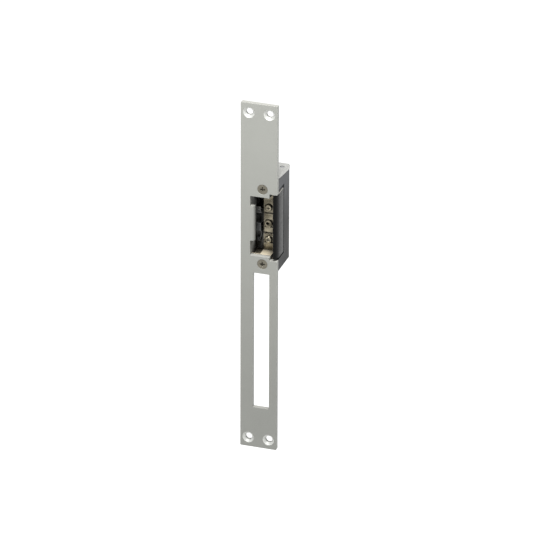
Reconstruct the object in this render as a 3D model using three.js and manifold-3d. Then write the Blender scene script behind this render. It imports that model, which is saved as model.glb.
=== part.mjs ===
// Electric door strike on a long faceplate: an assembly of separate named pieces.
//
// Millimetres. +X is to the right as seen from the front, +Y goes back into the door frame, +Z is up.
// Inside this file heights are measured from the faceplate's bottom edge, and y = 0 is the faceplate's
// rear face. The finished group is lowered so that its origin lies on the rear face, midway between the
// two upper fixing holes.

import * as THREE from 'three';
import { mergeVertices } from 'three/addons/utils/BufferGeometryUtils.js';
import Module from 'manifold-3d';

// ---- Driving dimensions ---------------------------------------------------------------------------

const GAP = 0.1; // between pieces that rest on each other
const RUNNING = 0.08; // radial clearance of a pin in its hole

const PLATE = { width: 25, height: 250, front: -3 };
const FIXING_HOLE = { x: 7, fromEnd: 6.7, radius: 2.25, sinkRadius: 3.9 };
const BOLT_SLOT = { left: -4, right: 7.25, bottom: 29.5, top: 128.5 };
const CUT_OUT = { left: -6, step: 7.2, bottom: 140.8, top: 183.7, tallBottom: 138.7, tallTop: 186.7 };
const TONGUE = { right: -3.2, bottom: 151.4, top: 176.4, edge: 2.2 };
const PLATE_SCREW = { x: 2.4, heights: { lower: 135.4, upper: 189.4 }, head: 3.5, shank: 1.6, tip: 9.5 };

const BODY = { left: -8, right: 12.5, back: 23.4, bottom: 130.8, top: 197.6 };
const COVER = { thickness: 1.2, topFront: 197.1, topBack: 194.4, keeperEnd: 11.5, flangeLeft: 5.2 };
const COVER_SCREW = { x: 8.6, heights: { lower: 133.8, upper: 192 }, head: 2.1, shank: 1.1, tip: 19.6 };
const POCKET = { left: -6.2, bottom: 141, top: 183.5, wallDepth: 9 };
const FLOOR_RECESS = { right: -0.3, front: 0.8, bottom: 138.4 };
const KEEPER_BAY = { left: 7.2, bottom: 139, top: 189 };
const PARTITION = { front: 12.4, back: 13.2 };
const REAR_BAY = { left: -6.8, back: 21.4, bottom: 137, top: 191.6, topRight: 189.4, stepX: 4.2 };
const PARTITION_WINDOW = { right: -1.2, bottom: 152, top: 181 };
const PIN_LUG = { right: -3.6, bottom: 164.4, top: 169 };
const SPRING_RIB = { left: -1.2, right: -0.4, back: 18, bottom: 148.5, top: 154.5 };

const KEEPER = { pivotX: 10.1, pivotY: 8.9, knuckle: 2.4, bottom: 140.3, top: 186.2, innerX: 9.5 };
const NOSE = { tip: 10, depth: 5.2, shoulderFront: 5.6, shoulderBack: 7.6, flankEnd: 10.2 };
const FOOT = { left: -0.6, right: 9, front: 9.9, bottom: 142, top: 182.6 };
const TAIL = { left: 8.4, right: 10.5, back: 14.6, bottom: 142.3, top: 146.3 };
const KEEPER_PIN = { radius: 1, bottom: 134.4, top: 193.6 };
const KEEPER_SPRING = { radius: 1.6, wire: 0.22, bottom: 186.75, top: 188.5, turns: 3 };
const LATCH_PLATE = { left: -0.4, right: 7.3, front: 8.6, back: 9.8, bottom: 141.5, top: 181.8, screwX: 3 };
const LATCH_CENTRE = 160;
const LATCH_BOSS = { radius: 2.6, hole: 1, proud: 1.4 };
const LATCH_PAD = { offset: 6.2, halfHeight: 1, proud: 0.6 };
const LATCH_RIB = { width: 1, proud: 0.9, fromEnd: 3 };
const LATCH_SCREW = { offset: 11.5, head: 2.5, shank: 1.3, headHeight: 1.5, tip: 11.1, slide: 1 };

const LEVER = { pivotX: 7.4, pivotZ: 160.5, front: 13.6, back: 15.8, hub: 2.5 };
const LEVER_LONG_ARM = [
  [6, 141.5], [8.1, 141.5], [8.1, 147.5], [8.4, 152], [9.7, 160.5], [5.1, 160.5], [6, 152],
];
const LEVER_SHORT_ARM = [[5.9, 160.5], [8.5, 160.5], [8.5, 164.3], [7.5, 165.3], [5.9, 165.3]];
const LEVER_PIN = { radius: 1, front: 12.6, back: 21.9 };
const LEVER_SPRING = { left: -0.2, right: 5.5, y: 14.9, z: 151.5, radius: 1.1, wire: 0.2, turns: 6 };
const ARMATURE = {
  pivotX: -5.2, pivotZ: 166.6, front: 13.8, back: 20.2, bottom: 165.9, top: 167.3, right: 10.3,
};
const ARMATURE_TOOTH = { left: 7.4, tipLeft: 9.4, tip: 163.9, back: 16 };
const ARMATURE_PIN = { radius: 0.6, front: 12.6, back: 22.2, hub: 1.3 };
const ARMATURE_SPRING = { radius: 1.1, wire: 0.2, turns: 9 };
const COIL = { x: -1, y: 17.3, bottom: 168.6, top: 189.8, flange: 3.9, winding: 3.5, tube: 2.2 };
const COIL_FLANGE_HEIGHT = 0.8;
const CORE = { radius: 1.45, bottom: 168, top: 191.1 };
const YOKE = { left: -6.6, right: 3.4, front: 14.6, back: 20, thickness: 1.2 };
const SPRING_SCREW = { x: 9, y: 17.5, radius: 1.4, bottom: 186.6, top: 197.5 };
const RELEASE = { pivotX: -4.4, pivotZ: 146.6, front: 10.2, back: 11.4, hub: 1.4, armWidth: 0.9 };
const RELEASE_ARM = [[-4.4, 146.6], [-3.3, 148], [-2.8, 149.6], [-2.7, 151.4], [-2.9, 153], [-3.4, 155]];
const RELEASE_TAB = { left: -5.6, right: -2.4, front: 8.4, bottom: 153.6, top: 159.4 };
const RELEASE_PIN = { radius: 0.7, front: 9.8, back: 13.4 };
const TERMINAL = { left: -6.4, right: 4.6, front: 17.4, back: 23.2, bottom: 133.4, top: 143 };
const TERMINAL_X = { left: -3.5, right: 1.7 };
const TERMINAL_SCREW = { z: 140.2, head: 1.35, headBack: 22.4, shank: 0.75, front: 18.8 };
const WIRE_ENTRY = { z: 136, half: 1.3 };
const CLAMP = { half: 1.3, front: 18.4, back: 20.4, bottom: 135, top: 141.4 };
const LEAD = { y: 20.85, radius: 0.3, bendTop: 160, bendBottom: 150 };
const LEAD_START_X = { left: -1.9, right: -0.1 };

const ORIGIN_HEIGHT = PLATE.height - FIXING_HOLE.fromEnd;
const COVER_INNER = BODY.right - COVER.thickness;
const FLANGE_FRONT = BODY.back - COVER.thickness;
const PAST = 1; // how far a cutting tool runs past the face it starts from
const DRIVER_SLOT = { half: 0.25, length: 2 }; // of a slotted screw
const ROUND = 24; // sides of a round piece
const SMALL_ROUND = 20; // sides of a thin pin
const FINE_ROUND = 36; // sides of a hole in the faceplate

// ---- Materials ------------------------------------------------------------------------------------

function metal(color, roughness, metalness = 1) {
  return new THREE.MeshStandardMaterial({ color, roughness, metalness });
}

const paintedPlate = metal(0xb2b3ad, 0.55, 0.3);
const castZinc = metal(0xa9aaa6, 0.4);
const blueSteel = metal(0x6e7074, 0.4);
const darkSteel = metal(0x2c2d30, 0.35);
const screwSteel = metal(0x6d675c, 0.4);
const yellowZinc = metal(0xb5a37c, 0.35);
const brightSteel = metal(0xb8b9ba, 0.3);
const softIron = metal(0x85868a, 0.45);
const springSteel = metal(0x8d9094, 0.3);
const brass = metal(0xc0a055, 0.3);
const tape = metal(0x2a2420, 0.7, 0);
const paleNylon = metal(0xd8d2c2, 0.6, 0);
const blackNylon = metal(0x1c1c1e, 0.6, 0);
const redSleeve = metal(0x8c2b22, 0.6, 0);

// ---- Solid building blocks ------------------------------------------------------------------------

const wasm = await Module();
wasm.setup();

function withoutFlatTriangles(index) {
  const kept = [];
  for (let i = 0; i < index.length; i += 3) {
    const [a, b, c] = [index[i], index[i + 1], index[i + 2]];
    if (a !== b && b !== c && c !== a) kept.push(a, b, c);
  }
  return kept;
}

// A closed three.js geometry as a solid that can be joined and cut, whichever way its faces were wound.
function solidFrom(geometry) {
  const bare = geometry.clone();
  bare.deleteAttribute('normal');
  bare.deleteAttribute('uv');
  const merged = mergeVertices(bare, 1e-4);
  const vertProperties = new Float32Array(merged.attributes.position.array);
  const triangles = withoutFlatTriangles(merged.index.array);
  const solid = new wasm.Manifold(
    new wasm.Mesh({ numProp: 3, vertProperties, triVerts: new Uint32Array(triangles) }),
  );
  if (solid.volume() > 0) return solid;
  triangles.reverse();
  return new wasm.Manifold(
    new wasm.Mesh({ numProp: 3, vertProperties, triVerts: new Uint32Array(triangles) }),
  );
}

function geometryFrom(solid) {
  const mesh = solid.getMesh();
  const geometry = new THREE.BufferGeometry();
  geometry.setAttribute('position', new THREE.BufferAttribute(mesh.vertProperties, 3));
  geometry.setIndex(new THREE.BufferAttribute(mesh.triVerts, 1));
  geometry.computeVertexNormals();
  return geometry;
}

function block(x0, x1, y0, y1, z0, z1) {
  const geometry = new THREE.BoxGeometry(x1 - x0, y1 - y0, z1 - z0);
  geometry.translate((x0 + x1) / 2, (y0 + y1) / 2, (z0 + z1) / 2);
  return solidFrom(geometry);
}

// Where an outline's first, second and depth directions point, for each way a prism can stand.
const BASES = {
  x: [new THREE.Vector3(0, 1, 0), new THREE.Vector3(0, 0, 1), new THREE.Vector3(1, 0, 0)],
  y: [new THREE.Vector3(1, 0, 0), new THREE.Vector3(0, 0, 1), new THREE.Vector3(0, -1, 0)],
  z: [new THREE.Vector3(1, 0, 0), new THREE.Vector3(0, 1, 0), new THREE.Vector3(0, 0, 1)],
};

// An outline pushed along an axis: (y, z) outlines along x, (x, z) along y and (x, y) along z.
function prism(shape, axis, from, to) {
  const geometry = new THREE.ExtrudeGeometry(shape, {
    depth: to - from, bevelEnabled: false, curveSegments: 10,
  });
  geometry.applyMatrix4(new THREE.Matrix4().makeBasis(...BASES[axis]));
  const start = axis === 'y' ? to : from;
  geometry.translate(axis === 'x' ? start : 0, axis === 'y' ? start : 0, axis === 'z' ? start : 0);
  return solidFrom(geometry);
}

function outline(points) {
  return new THREE.Shape(points.map(([u, v]) => new THREE.Vector2(u, v)));
}

// A round bar, or a cone when the two radii differ. Its centre is given by the two other coordinates.
function bar(axis, [u, v], from, to, radius, endRadius = radius, sides = ROUND) {
  const geometry = new THREE.CylinderGeometry(endRadius, radius, to - from, sides);
  const middle = (from + to) / 2;
  if (axis === 'x') geometry.rotateZ(-Math.PI / 2).translate(middle, u, v);
  if (axis === 'y') geometry.translate(u, middle, v);
  if (axis === 'z') geometry.rotateX(Math.PI / 2).translate(u, v, middle);
  return solidFrom(geometry);
}

function join(...solids) {
  return solids.reduce((whole, piece) => whole.add(piece));
}

function cut(solid, ...tools) {
  return tools.reduce((left, tool) => left.subtract(tool), solid);
}

// What is left of a square edge when it is rounded: the outside corner of a quarter circle. (u, v) is the
// sharp corner, and the signs say on which side of it the material lies.
function outsideCorner([u, v], radius, [uSign, vSign]) {
  const shape = new THREE.Shape();
  const centre = [u + uSign * radius, v + vSign * radius];
  const past = 0.2;
  shape.moveTo(u - uSign * past, v - vSign * past);
  shape.lineTo(centre[0], v - vSign * past);
  for (let step = 0; step <= 10; step += 1) {
    const angle = (step / 10) * (Math.PI / 2);
    shape.lineTo(centre[0] - uSign * radius * Math.sin(angle), centre[1] - vSign * radius * Math.cos(angle));
  }
  shape.lineTo(u - uSign * past, centre[1]);
  return shape;
}

// Two crossed slots for the tip of a cross-head screwdriver, between the two given depths.
function crossRecess([x, z], front, back, halfLength) {
  const halfWidth = halfLength * 0.24;
  return join(
    block(x - halfLength, x + halfLength, front, back, z - halfWidth, z + halfWidth),
    block(x - halfWidth, x + halfWidth, front, back, z - halfLength, z + halfLength),
  );
}

class SpringCurve extends THREE.Curve {
  constructor(start, end, radius, turns) {
    super();
    this.start = start;
    this.axis = end.clone().sub(start);
    this.side = new THREE.Vector3(0, 0, 1).cross(this.axis);
    if (this.side.lengthSq() < 1e-6) this.side.set(1, 0, 0);
    this.side.setLength(radius);
    this.other = this.axis.clone().cross(this.side).setLength(radius);
    this.turns = turns;
  }

  getPoint(t) {
    const angle = 2 * Math.PI * this.turns * t;
    return this.start.clone()
      .addScaledVector(this.axis, t)
      .addScaledVector(this.side, Math.cos(angle))
      .addScaledVector(this.other, Math.sin(angle));
  }
}

function wireAlong(curve, wireRadius, steps) {
  const section = new THREE.Shape();
  section.absarc(0, 0, wireRadius, 0, 2 * Math.PI);
  const geometry = new THREE.ExtrudeGeometry(section, {
    steps, curveSegments: 3, bevelEnabled: false, extrudePath: curve,
  });
  return solidFrom(geometry);
}

function coilSpring(start, end, radius, wireRadius, turns) {
  const from = new THREE.Vector3(...start);
  const to = new THREE.Vector3(...end);
  return wireAlong(new SpringCurve(from, to, radius, turns), wireRadius, turns * 9);
}

const strike = new THREE.Group();
strike.position.z = -ORIGIN_HEIGHT;

function place(name, solid, material) {
  const mesh = new THREE.Mesh(geometryFrom(solid), material);
  mesh.name = name;
  strike.add(mesh);
}

// ---- Faceplate and its screws ---------------------------------------------------------------------

function countersunkHole(x, z, radius, sinkRadius) {
  const overshoot = 0.2;
  const sinkEnd = PLATE.front + sinkRadius - radius;
  return join(
    bar('y', [x, z], PLATE.front - 1, 1, radius, radius, FINE_ROUND),
    bar('y', [x, z], PLATE.front - overshoot, sinkEnd, sinkRadius + overshoot, radius, FINE_ROUND),
  );
}

function plateOutline() {
  const half = PLATE.width / 2;
  return outline([
    [-half, 0], [half, 0], [half, CUT_OUT.tallBottom], [CUT_OUT.step, CUT_OUT.tallBottom],
    [CUT_OUT.step, CUT_OUT.bottom], [CUT_OUT.left, CUT_OUT.bottom],
    [CUT_OUT.left, TONGUE.bottom], [TONGUE.right, TONGUE.bottom],
    [TONGUE.right, TONGUE.top], [CUT_OUT.left, TONGUE.top],
    [CUT_OUT.left, CUT_OUT.top], [CUT_OUT.step, CUT_OUT.top],
    [CUT_OUT.step, CUT_OUT.tallTop], [half, CUT_OUT.tallTop],
    [half, PLATE.height], [-half, PLATE.height],
  ]);
}

function faceplate() {
  const roundedTongue = prism(
    outsideCorner([TONGUE.right, PLATE.front], TONGUE.edge, [-1, 1]),
    'z', TONGUE.bottom - 1, TONGUE.top + 1,
  );
  const slot = block(BOLT_SLOT.left, BOLT_SLOT.right, PLATE.front - 1, 1, BOLT_SLOT.bottom, BOLT_SLOT.top);
  const holes = [];
  for (const x of [-FIXING_HOLE.x, FIXING_HOLE.x]) {
    for (const z of [FIXING_HOLE.fromEnd, PLATE.height - FIXING_HOLE.fromEnd]) {
      holes.push(countersunkHole(x, z, FIXING_HOLE.radius, FIXING_HOLE.sinkRadius));
    }
  }
  for (const z of Object.values(PLATE_SCREW.heights)) {
    holes.push(countersunkHole(PLATE_SCREW.x, z, PLATE_SCREW.shank + 0.4, PLATE_SCREW.head + 0.2));
  }
  return cut(prism(plateOutline(), 'y', PLATE.front, 0), slot, roundedTongue, ...holes);
}

function plateScrew(z) {
  const { x, head, shank, tip } = PLATE_SCREW;
  const face = PLATE.front + GAP;
  const screw = join(
    bar('y', [x, z], face, face + head - shank, head, shank),
    bar('y', [x, z], face + head - shank - GAP, tip, shank),
  );
  const recess = { halfLength: 1.9, depth: 1.4 };
  return cut(screw, crossRecess([x, z], face - PAST, face + recess.depth, recess.halfLength));
}

place('faceplate', faceplate(), paintedPlate);
for (const [end, z] of Object.entries(PLATE_SCREW.heights)) {
  place(`faceplate_screw_${end}`, plateScrew(z), screwSteel);
}

// ---- Housing and side cover -----------------------------------------------------------------------

function housingShell() {
  const right = COVER_INNER - GAP;
  const shell = block(BODY.left, right, GAP, BODY.back, BODY.bottom, BODY.top);
  const bevel = 0.8;
  const aboveCover = prism(outline([
    [GAP, BODY.top], [GAP, COVER.topFront + GAP],
    [BODY.back, COVER.topBack + GAP], [BODY.back, BODY.top],
  ]), 'x', right - 1, BODY.right);
  const bevelTool = prism(outline([
    [BODY.right - bevel, BODY.top + 0.01], [BODY.right + 1, BODY.top + 0.01],
    [BODY.right + 1, BODY.top - bevel - 1],
  ]), 'y', -1, BODY.back + 1);
  const roundedBack = prism(
    outsideCorner([BODY.left, BODY.back], 1.5, [1, -1]), 'z', BODY.bottom - 1, BODY.top + 1,
  );
  return cut(join(shell, aboveCover), bevelTool, roundedBack);
}

function frontPocket() {
  const inFront = GAP - 1;
  const past = BODY.right + 1;
  return join(
    block(POCKET.left, past, inFront, POCKET.wallDepth, POCKET.bottom, POCKET.top),
    block(REAR_BAY.left, past, POCKET.wallDepth, PARTITION.front, POCKET.bottom, POCKET.top),
    block(KEEPER_BAY.left, past, inFront, PARTITION.front, KEEPER_BAY.bottom, KEEPER_BAY.top),
    floorRecess(),
  );
}

// At the left the pocket's floor is only a narrow ledge, and drops away behind it.
function floorRecess() {
  const { right, front, bottom } = FLOOR_RECESS;
  return block(POCKET.left, right, front, PARTITION.front, bottom, POCKET.bottom + PAST);
}

function rearBay() {
  const { left, back, bottom, top, topRight, stepX } = REAR_BAY;
  const past = BODY.right + 1;
  return join(
    block(left, stepX + 1, PARTITION.back, back, TERMINAL.bottom - 0.2, top),
    block(stepX, COVER_INNER + 1, PARTITION.back, back, bottom, topRight),
    block(TAIL.left - 6, past, PARTITION.front - PAST, PARTITION.back + PAST, bottom + 2, TAIL.top + 1.2),
  );
}

// The opening at the left of the partition that lets the release lever reach the armature, with the lug
// that holds the armature pin left standing in it.
function partitionWindow() {
  const [front, back] = [PARTITION.front - PAST, PARTITION.back + PAST];
  const window = block(
    REAR_BAY.left, PARTITION_WINDOW.right, front, back, PARTITION_WINDOW.bottom, PARTITION_WINDOW.top,
  );
  const lug = block(
    REAR_BAY.left - PAST, PIN_LUG.right, front - PAST, back + PAST, PIN_LUG.bottom, PIN_LUG.top,
  );
  return cut(window, lug);
}

function housingHoles() {
  const holes = [];
  for (const z of Object.values(PLATE_SCREW.heights)) {
    holes.push(bar('y', [PLATE_SCREW.x, z], -1, PLATE_SCREW.tip + 1, PLATE_SCREW.shank + 0.15));
  }
  for (const z of Object.values(COVER_SCREW.heights)) {
    holes.push(bar('y', [COVER_SCREW.x, z], COVER_SCREW.tip - 0.3, BODY.back + 1, COVER_SCREW.shank + 0.15));
  }
  const pinSpace = KEEPER_PIN.radius + RUNNING;
  const pinEnds = [
    [KEEPER_PIN.bottom - GAP, KEEPER_BAY.bottom + PAST],
    [KEEPER_BAY.top - PAST, KEEPER_PIN.top + GAP],
  ];
  for (const [from, to] of pinEnds) {
    const { pivotX: x, pivotY: y } = KEEPER;
    holes.push(bar('z', [x, y], from, to, pinSpace));
    holes.push(block(x, COVER_INNER, y - pinSpace, y + pinSpace, from, to));
  }
  holes.push(bar(
    'z', [SPRING_SCREW.x, SPRING_SCREW.y], REAR_BAY.topRight - PAST, BODY.top + PAST,
    SPRING_SCREW.radius + 0.15,
  ));
  const inFront = PARTITION.front - 0.4;
  const crossPins = [[ARMATURE, ARMATURE_PIN], [LEVER, LEVER_PIN], [RELEASE, RELEASE_PIN]];
  for (const [{ pivotX, pivotZ }, pin] of crossPins) {
    holes.push(bar('y', [pivotX, pivotZ], inFront, pin.back + GAP, pin.radius + RUNNING));
  }
  return holes;
}

function housing() {
  const flangeRecess = block(
    COVER.flangeLeft - 0.2, BODY.right + 1, FLANGE_FRONT - GAP, BODY.back + 1,
    BODY.bottom - 1, COVER.topBack + GAP,
  );
  const terminalRecess = block(
    TERMINAL.left - 0.2, TERMINAL.right + 0.2, REAR_BAY.back - 1, BODY.back + 1,
    TERMINAL.bottom - 0.2, TERMINAL.top + 0.2,
  );
  const hollow = cut(
    housingShell(), frontPocket(), rearBay(), partitionWindow(), flangeRecess, terminalRecess,
  );
  const leverBoss = bar(
    'y', [LEVER.pivotX, LEVER.pivotZ], LEVER.back + 0.3, REAR_BAY.back + 0.2, LEVER.hub,
  );
  const springRib = block(
    SPRING_RIB.left, SPRING_RIB.right, PARTITION.back - 0.2, SPRING_RIB.back,
    SPRING_RIB.bottom, SPRING_RIB.top,
  );
  return cut(join(hollow, leverBoss, springRib), ...housingHoles());
}

function sideCover() {
  const side = prism(outline([
    [GAP, BODY.bottom], [BODY.back, BODY.bottom], [BODY.back, COVER.topBack], [GAP, COVER.topFront],
    [GAP, KEEPER_BAY.top], [COVER.keeperEnd, KEEPER_BAY.top],
    [COVER.keeperEnd, KEEPER_BAY.bottom], [GAP, KEEPER_BAY.bottom],
  ]), 'x', COVER_INNER, BODY.right);
  const flange = block(
    COVER.flangeLeft, BODY.right, FLANGE_FRONT, BODY.back, BODY.bottom, COVER.topBack,
  );
  const bend = prism(
    outsideCorner([BODY.right, BODY.back], 1.6, [-1, -1]), 'z', BODY.bottom - 1, BODY.top + 1,
  );
  const holes = Object.values(COVER_SCREW.heights).map(
    (z) => bar('y', [COVER_SCREW.x, z], FLANGE_FRONT - 1, BODY.back + 1, COVER_SCREW.shank + 0.2),
  );
  return cut(join(side, flange), bend, ...holes);
}

function coverScrew(z) {
  const { x, head, shank, tip } = COVER_SCREW;
  const face = BODY.back + GAP;
  const top = face + 0.9;
  const recess = { halfLength: 1.1, depth: 0.6 };
  const screw = join(
    bar('y', [x, z], face, top, head, head * 0.75),
    bar('y', [x, z], tip, face + 0.4, shank),
  );
  return cut(screw, crossRecess([x, z], top - recess.depth, top + PAST, recess.halfLength));
}

place('housing', housing(), castZinc);
place('side_cover', sideCover(), blueSteel);
for (const [end, z] of Object.entries(COVER_SCREW.heights)) {
  place(`cover_screw_${end}`, coverScrew(z), brightSteel);
}

// ---- Keeper, its pin and spring, and the latch plate it carries -----------------------------------

// The jaw seen from above: a nose with a rounded outer front, a straight flank that runs back past the pin,
// a knuckle round the pin and a flat inner face that the latch bears on.
function jawOutline() {
  const { pivotX, pivotY, knuckle, innerX } = KEEPER;
  const flank = BODY.right;
  const noseCentre = PLATE.front + NOSE.depth;
  const shape = new THREE.Shape();
  shape.moveTo(innerX, NOSE.shoulderFront);
  shape.lineTo(innerX, PLATE.front + NOSE.tip - innerX);
  shape.quadraticCurveTo(innerX, PLATE.front, NOSE.tip, PLATE.front);
  shape.absellipse(NOSE.tip, noseCentre, flank - NOSE.tip, NOSE.depth, -Math.PI / 2, 0, false, 0);
  shape.lineTo(flank, NOSE.flankEnd);
  shape.absarc(pivotX, pivotY, knuckle, Math.PI / 3, Math.PI, false);
  shape.lineTo(pivotX - knuckle, NOSE.shoulderBack);
  return shape;
}

function keeper() {
  const { pivotX, pivotY, knuckle, bottom, top } = KEEPER;
  const jaw = prism(jawOutline(), 'z', bottom, top);
  const footBack = pivotY + knuckle;
  const foot = block(FOOT.left, FOOT.right, FOOT.front, footBack, FOOT.bottom, FOOT.top);
  const tail = block(TAIL.left, TAIL.right, pivotY, TAIL.back, TAIL.bottom, TAIL.top);
  const bore = bar('z', [pivotX, pivotY], bottom - PAST, top + PAST, KEEPER_PIN.radius + RUNNING);
  const screwHoles = latchScrewHeights().map((z) => bar(
    'y', [LATCH_PLATE.screwX, z], FOOT.front - PAST, footBack + PAST, LATCH_SCREW.shank + 0.15,
  ));
  return cut(join(jaw, foot, tail), bore, ...screwHoles);
}

function latchScrewHeights() {
  return [LATCH_CENTRE + LATCH_SCREW.offset, LATCH_CENTRE - LATCH_SCREW.offset];
}

function latchPlate() {
  const { left, right, front, back, bottom, top, screwX } = LATCH_PLATE;
  const base = block(left, right, front, back, bottom, top);
  const rib = block(
    right - LATCH_RIB.width, right, front - LATCH_RIB.proud, front + GAP,
    bottom + LATCH_RIB.fromEnd, top - LATCH_RIB.fromEnd,
  );
  const boss = bar('y', [screwX, LATCH_CENTRE], front - LATCH_BOSS.proud, front + GAP, LATCH_BOSS.radius);
  const bossHole = bar('y', [screwX, LATCH_CENTRE], front - 2, front + 0.6, LATCH_BOSS.hole);
  const pads = [-LATCH_PAD.offset, LATCH_PAD.offset].map((offset) => block(
    left + 0.8, right - 2, front - LATCH_PAD.proud, front + GAP,
    LATCH_CENTRE + offset - LATCH_PAD.halfHeight, LATCH_CENTRE + offset + LATCH_PAD.halfHeight,
  ));
  const slots = latchScrewHeights().map((z) => adjustingSlot(z, front - PAST, back + PAST));
  return cut(join(base, rib, boss, ...pads), bossHole, ...slots);
}

// A slot with round ends, so that the latch plate can be set sideways under its screws.
function adjustingSlot(z, from, to) {
  const radius = LATCH_SCREW.shank + 0.2;
  const [left, right] = [LATCH_PLATE.screwX - LATCH_SCREW.slide, LATCH_PLATE.screwX + LATCH_SCREW.slide];
  return join(
    bar('y', [left, z], from, to, radius),
    bar('y', [right, z], from, to, radius),
    block(left, right, from, to, z - radius, z + radius),
  );
}

function latchPlateScrew(z) {
  const x = LATCH_PLATE.screwX;
  const seat = LATCH_PLATE.front - GAP;
  const face = seat - LATCH_SCREW.headHeight;
  const chamfer = 0.5;
  const recess = { halfLength: 1.4, depth: 1 };
  const screw = join(
    bar('y', [x, z], face, face + chamfer, LATCH_SCREW.head - chamfer, LATCH_SCREW.head),
    bar('y', [x, z], face + chamfer, seat, LATCH_SCREW.head),
    bar('y', [x, z], face + 1, LATCH_SCREW.tip, LATCH_SCREW.shank),
  );
  return cut(screw, crossRecess([x, z], face - PAST, face + recess.depth, recess.halfLength));
}

function keeperSpring() {
  const { pivotX: x, pivotY: y } = KEEPER;
  const { radius, wire, bottom, top, turns } = KEEPER_SPRING;
  return coilSpring([x, y, bottom], [x, y, top], radius, wire, turns);
}

function keeperPin() {
  return bar('z', [KEEPER.pivotX, KEEPER.pivotY], KEEPER_PIN.bottom, KEEPER_PIN.top, KEEPER_PIN.radius);
}

place('keeper', keeper(), darkSteel);
place('keeper_pin', keeperPin(), brightSteel);
place('keeper_spring', keeperSpring(), springSteel);
place('latch_plate', latchPlate(), yellowZinc);
place('latch_plate_screw_upper', latchPlateScrew(latchScrewHeights()[0]), yellowZinc);
place('latch_plate_screw_lower', latchPlateScrew(latchScrewHeights()[1]), yellowZinc);

// ---- Locking lever --------------------------------------------------------------------------------

function lockingLever() {
  const { pivotX: x, pivotZ: z, front, back } = LEVER;
  const longArm = prism(outline(LEVER_LONG_ARM), 'y', front, back);
  const shortArm = prism(outline(LEVER_SHORT_ARM), 'y', front, back);
  const hub = bar('y', [x, z], front, back, LEVER.hub);
  const bore = bar('y', [x, z], front - PAST, back + PAST, LEVER_PIN.radius + RUNNING);
  return cut(join(longArm, shortArm, hub), bore);
}

function leverSpring() {
  const { left, right, y, z, radius, wire, turns } = LEVER_SPRING;
  return coilSpring([left, y, z], [right, y, z], radius, wire, turns);
}

function crossPin({ pivotX, pivotZ }, { radius, front, back }, sides = ROUND) {
  return bar('y', [pivotX, pivotZ], front, back, radius, radius, sides);
}

place('locking_lever', lockingLever(), softIron);
place('lever_pin', crossPin(LEVER, LEVER_PIN), brightSteel);
place('lever_spring', leverSpring(), springSteel);

// ---- Armature and coil ----------------------------------------------------------------------------

function armature() {
  const { pivotX: x, pivotZ: z, front, back, bottom, top, right } = ARMATURE;
  const tongue = block(x, right, front, back, bottom, top);
  const hub = bar('y', [x, z], front, back, ARMATURE_PIN.hub);
  const toothTop = bottom + 0.01;
  const tooth = prism(outline([
    [ARMATURE_TOOTH.left, toothTop], [right, toothTop],
    [right, ARMATURE_TOOTH.tip], [ARMATURE_TOOTH.tipLeft, ARMATURE_TOOTH.tip],
  ]), 'y', front, ARMATURE_TOOTH.back);
  const bore = bar('y', [x, z], front - PAST, back + PAST, ARMATURE_PIN.radius + RUNNING);
  return cut(join(tongue, hub, tooth), bore);
}

function coilBobbin() {
  const { x, y, bottom, top, flange, tube } = COIL;
  return cut(
    join(
      bar('z', [x, y], bottom, bottom + COIL_FLANGE_HEIGHT, flange),
      bar('z', [x, y], bottom, top, tube),
      bar('z', [x, y], top - COIL_FLANGE_HEIGHT, top, flange),
    ),
    bar('z', [x, y], bottom - PAST, top + PAST, CORE.radius + RUNNING),
  );
}

function coilWinding() {
  const { x, y, bottom, top, winding, tube } = COIL;
  const clear = COIL_FLANGE_HEIGHT + GAP;
  return cut(
    bar('z', [x, y], bottom + clear, top - clear, winding),
    bar('z', [x, y], bottom, top, tube + RUNNING),
  );
}

function coilYoke() {
  const { left, right, front, back, thickness } = YOKE;
  const shelf = COIL.top + 0.2;
  return cut(
    join(
      block(left, left + thickness, front, back, COIL.bottom, shelf + thickness),
      block(left, right, front, back, shelf, shelf + thickness),
    ),
    bar('z', [COIL.x, COIL.y], shelf - PAST, shelf + thickness + PAST, CORE.radius + RUNNING),
  );
}

function slottedScrew() {
  const { x, y, radius, bottom, top } = SPRING_SCREW;
  const { half, length } = DRIVER_SLOT;
  const driverSlot = block(x - length, x + length, y - half, y + half, top - 0.8, top + PAST);
  return cut(bar('z', [x, y], bottom, top, radius), driverSlot);
}

function armatureSpring() {
  const { x, y, bottom } = SPRING_SCREW;
  const { radius, wire, turns } = ARMATURE_SPRING;
  return coilSpring([x, y, ARMATURE.top + 0.4], [x, y, bottom - 0.3], radius, wire, turns);
}

place('armature', armature(), softIron);
place('armature_pin', crossPin(ARMATURE, ARMATURE_PIN, SMALL_ROUND), brightSteel);
place('armature_spring', armatureSpring(), springSteel);
place('armature_adjusting_screw', slottedScrew(), brightSteel);
place('coil_bobbin', coilBobbin(), paleNylon);
place('coil_winding', coilWinding(), tape);
place('coil_core', bar('z', [COIL.x, COIL.y], CORE.bottom, CORE.top, CORE.radius), softIron);
place('coil_yoke', coilYoke(), softIron);

// ---- Release lever --------------------------------------------------------------------------------

// The curved arm: its centre line widened by half the arm's width to each side.
function releaseArmOutline() {
  const half = RELEASE.armWidth / 2;
  const rightSide = RELEASE_ARM.map(([x, z]) => [x + half, z]);
  const leftSide = RELEASE_ARM.map(([x, z]) => [x - half, z]);
  return outline([...rightSide, ...leftSide.reverse()]);
}

function releaseLever() {
  const { pivotX: x, pivotZ: z, front, back, hub } = RELEASE;
  const { left, right, bottom, top } = RELEASE_TAB;
  const arm = prism(releaseArmOutline(), 'y', front, back);
  const eye = bar('y', [x, z], front, back, hub);
  const tab = block(left, right, RELEASE_TAB.front, back, bottom, top);
  const bore = bar('y', [x, z], front - PAST, back + PAST, RELEASE_PIN.radius + RUNNING);
  return cut(join(arm, eye, tab), bore);
}

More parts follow.
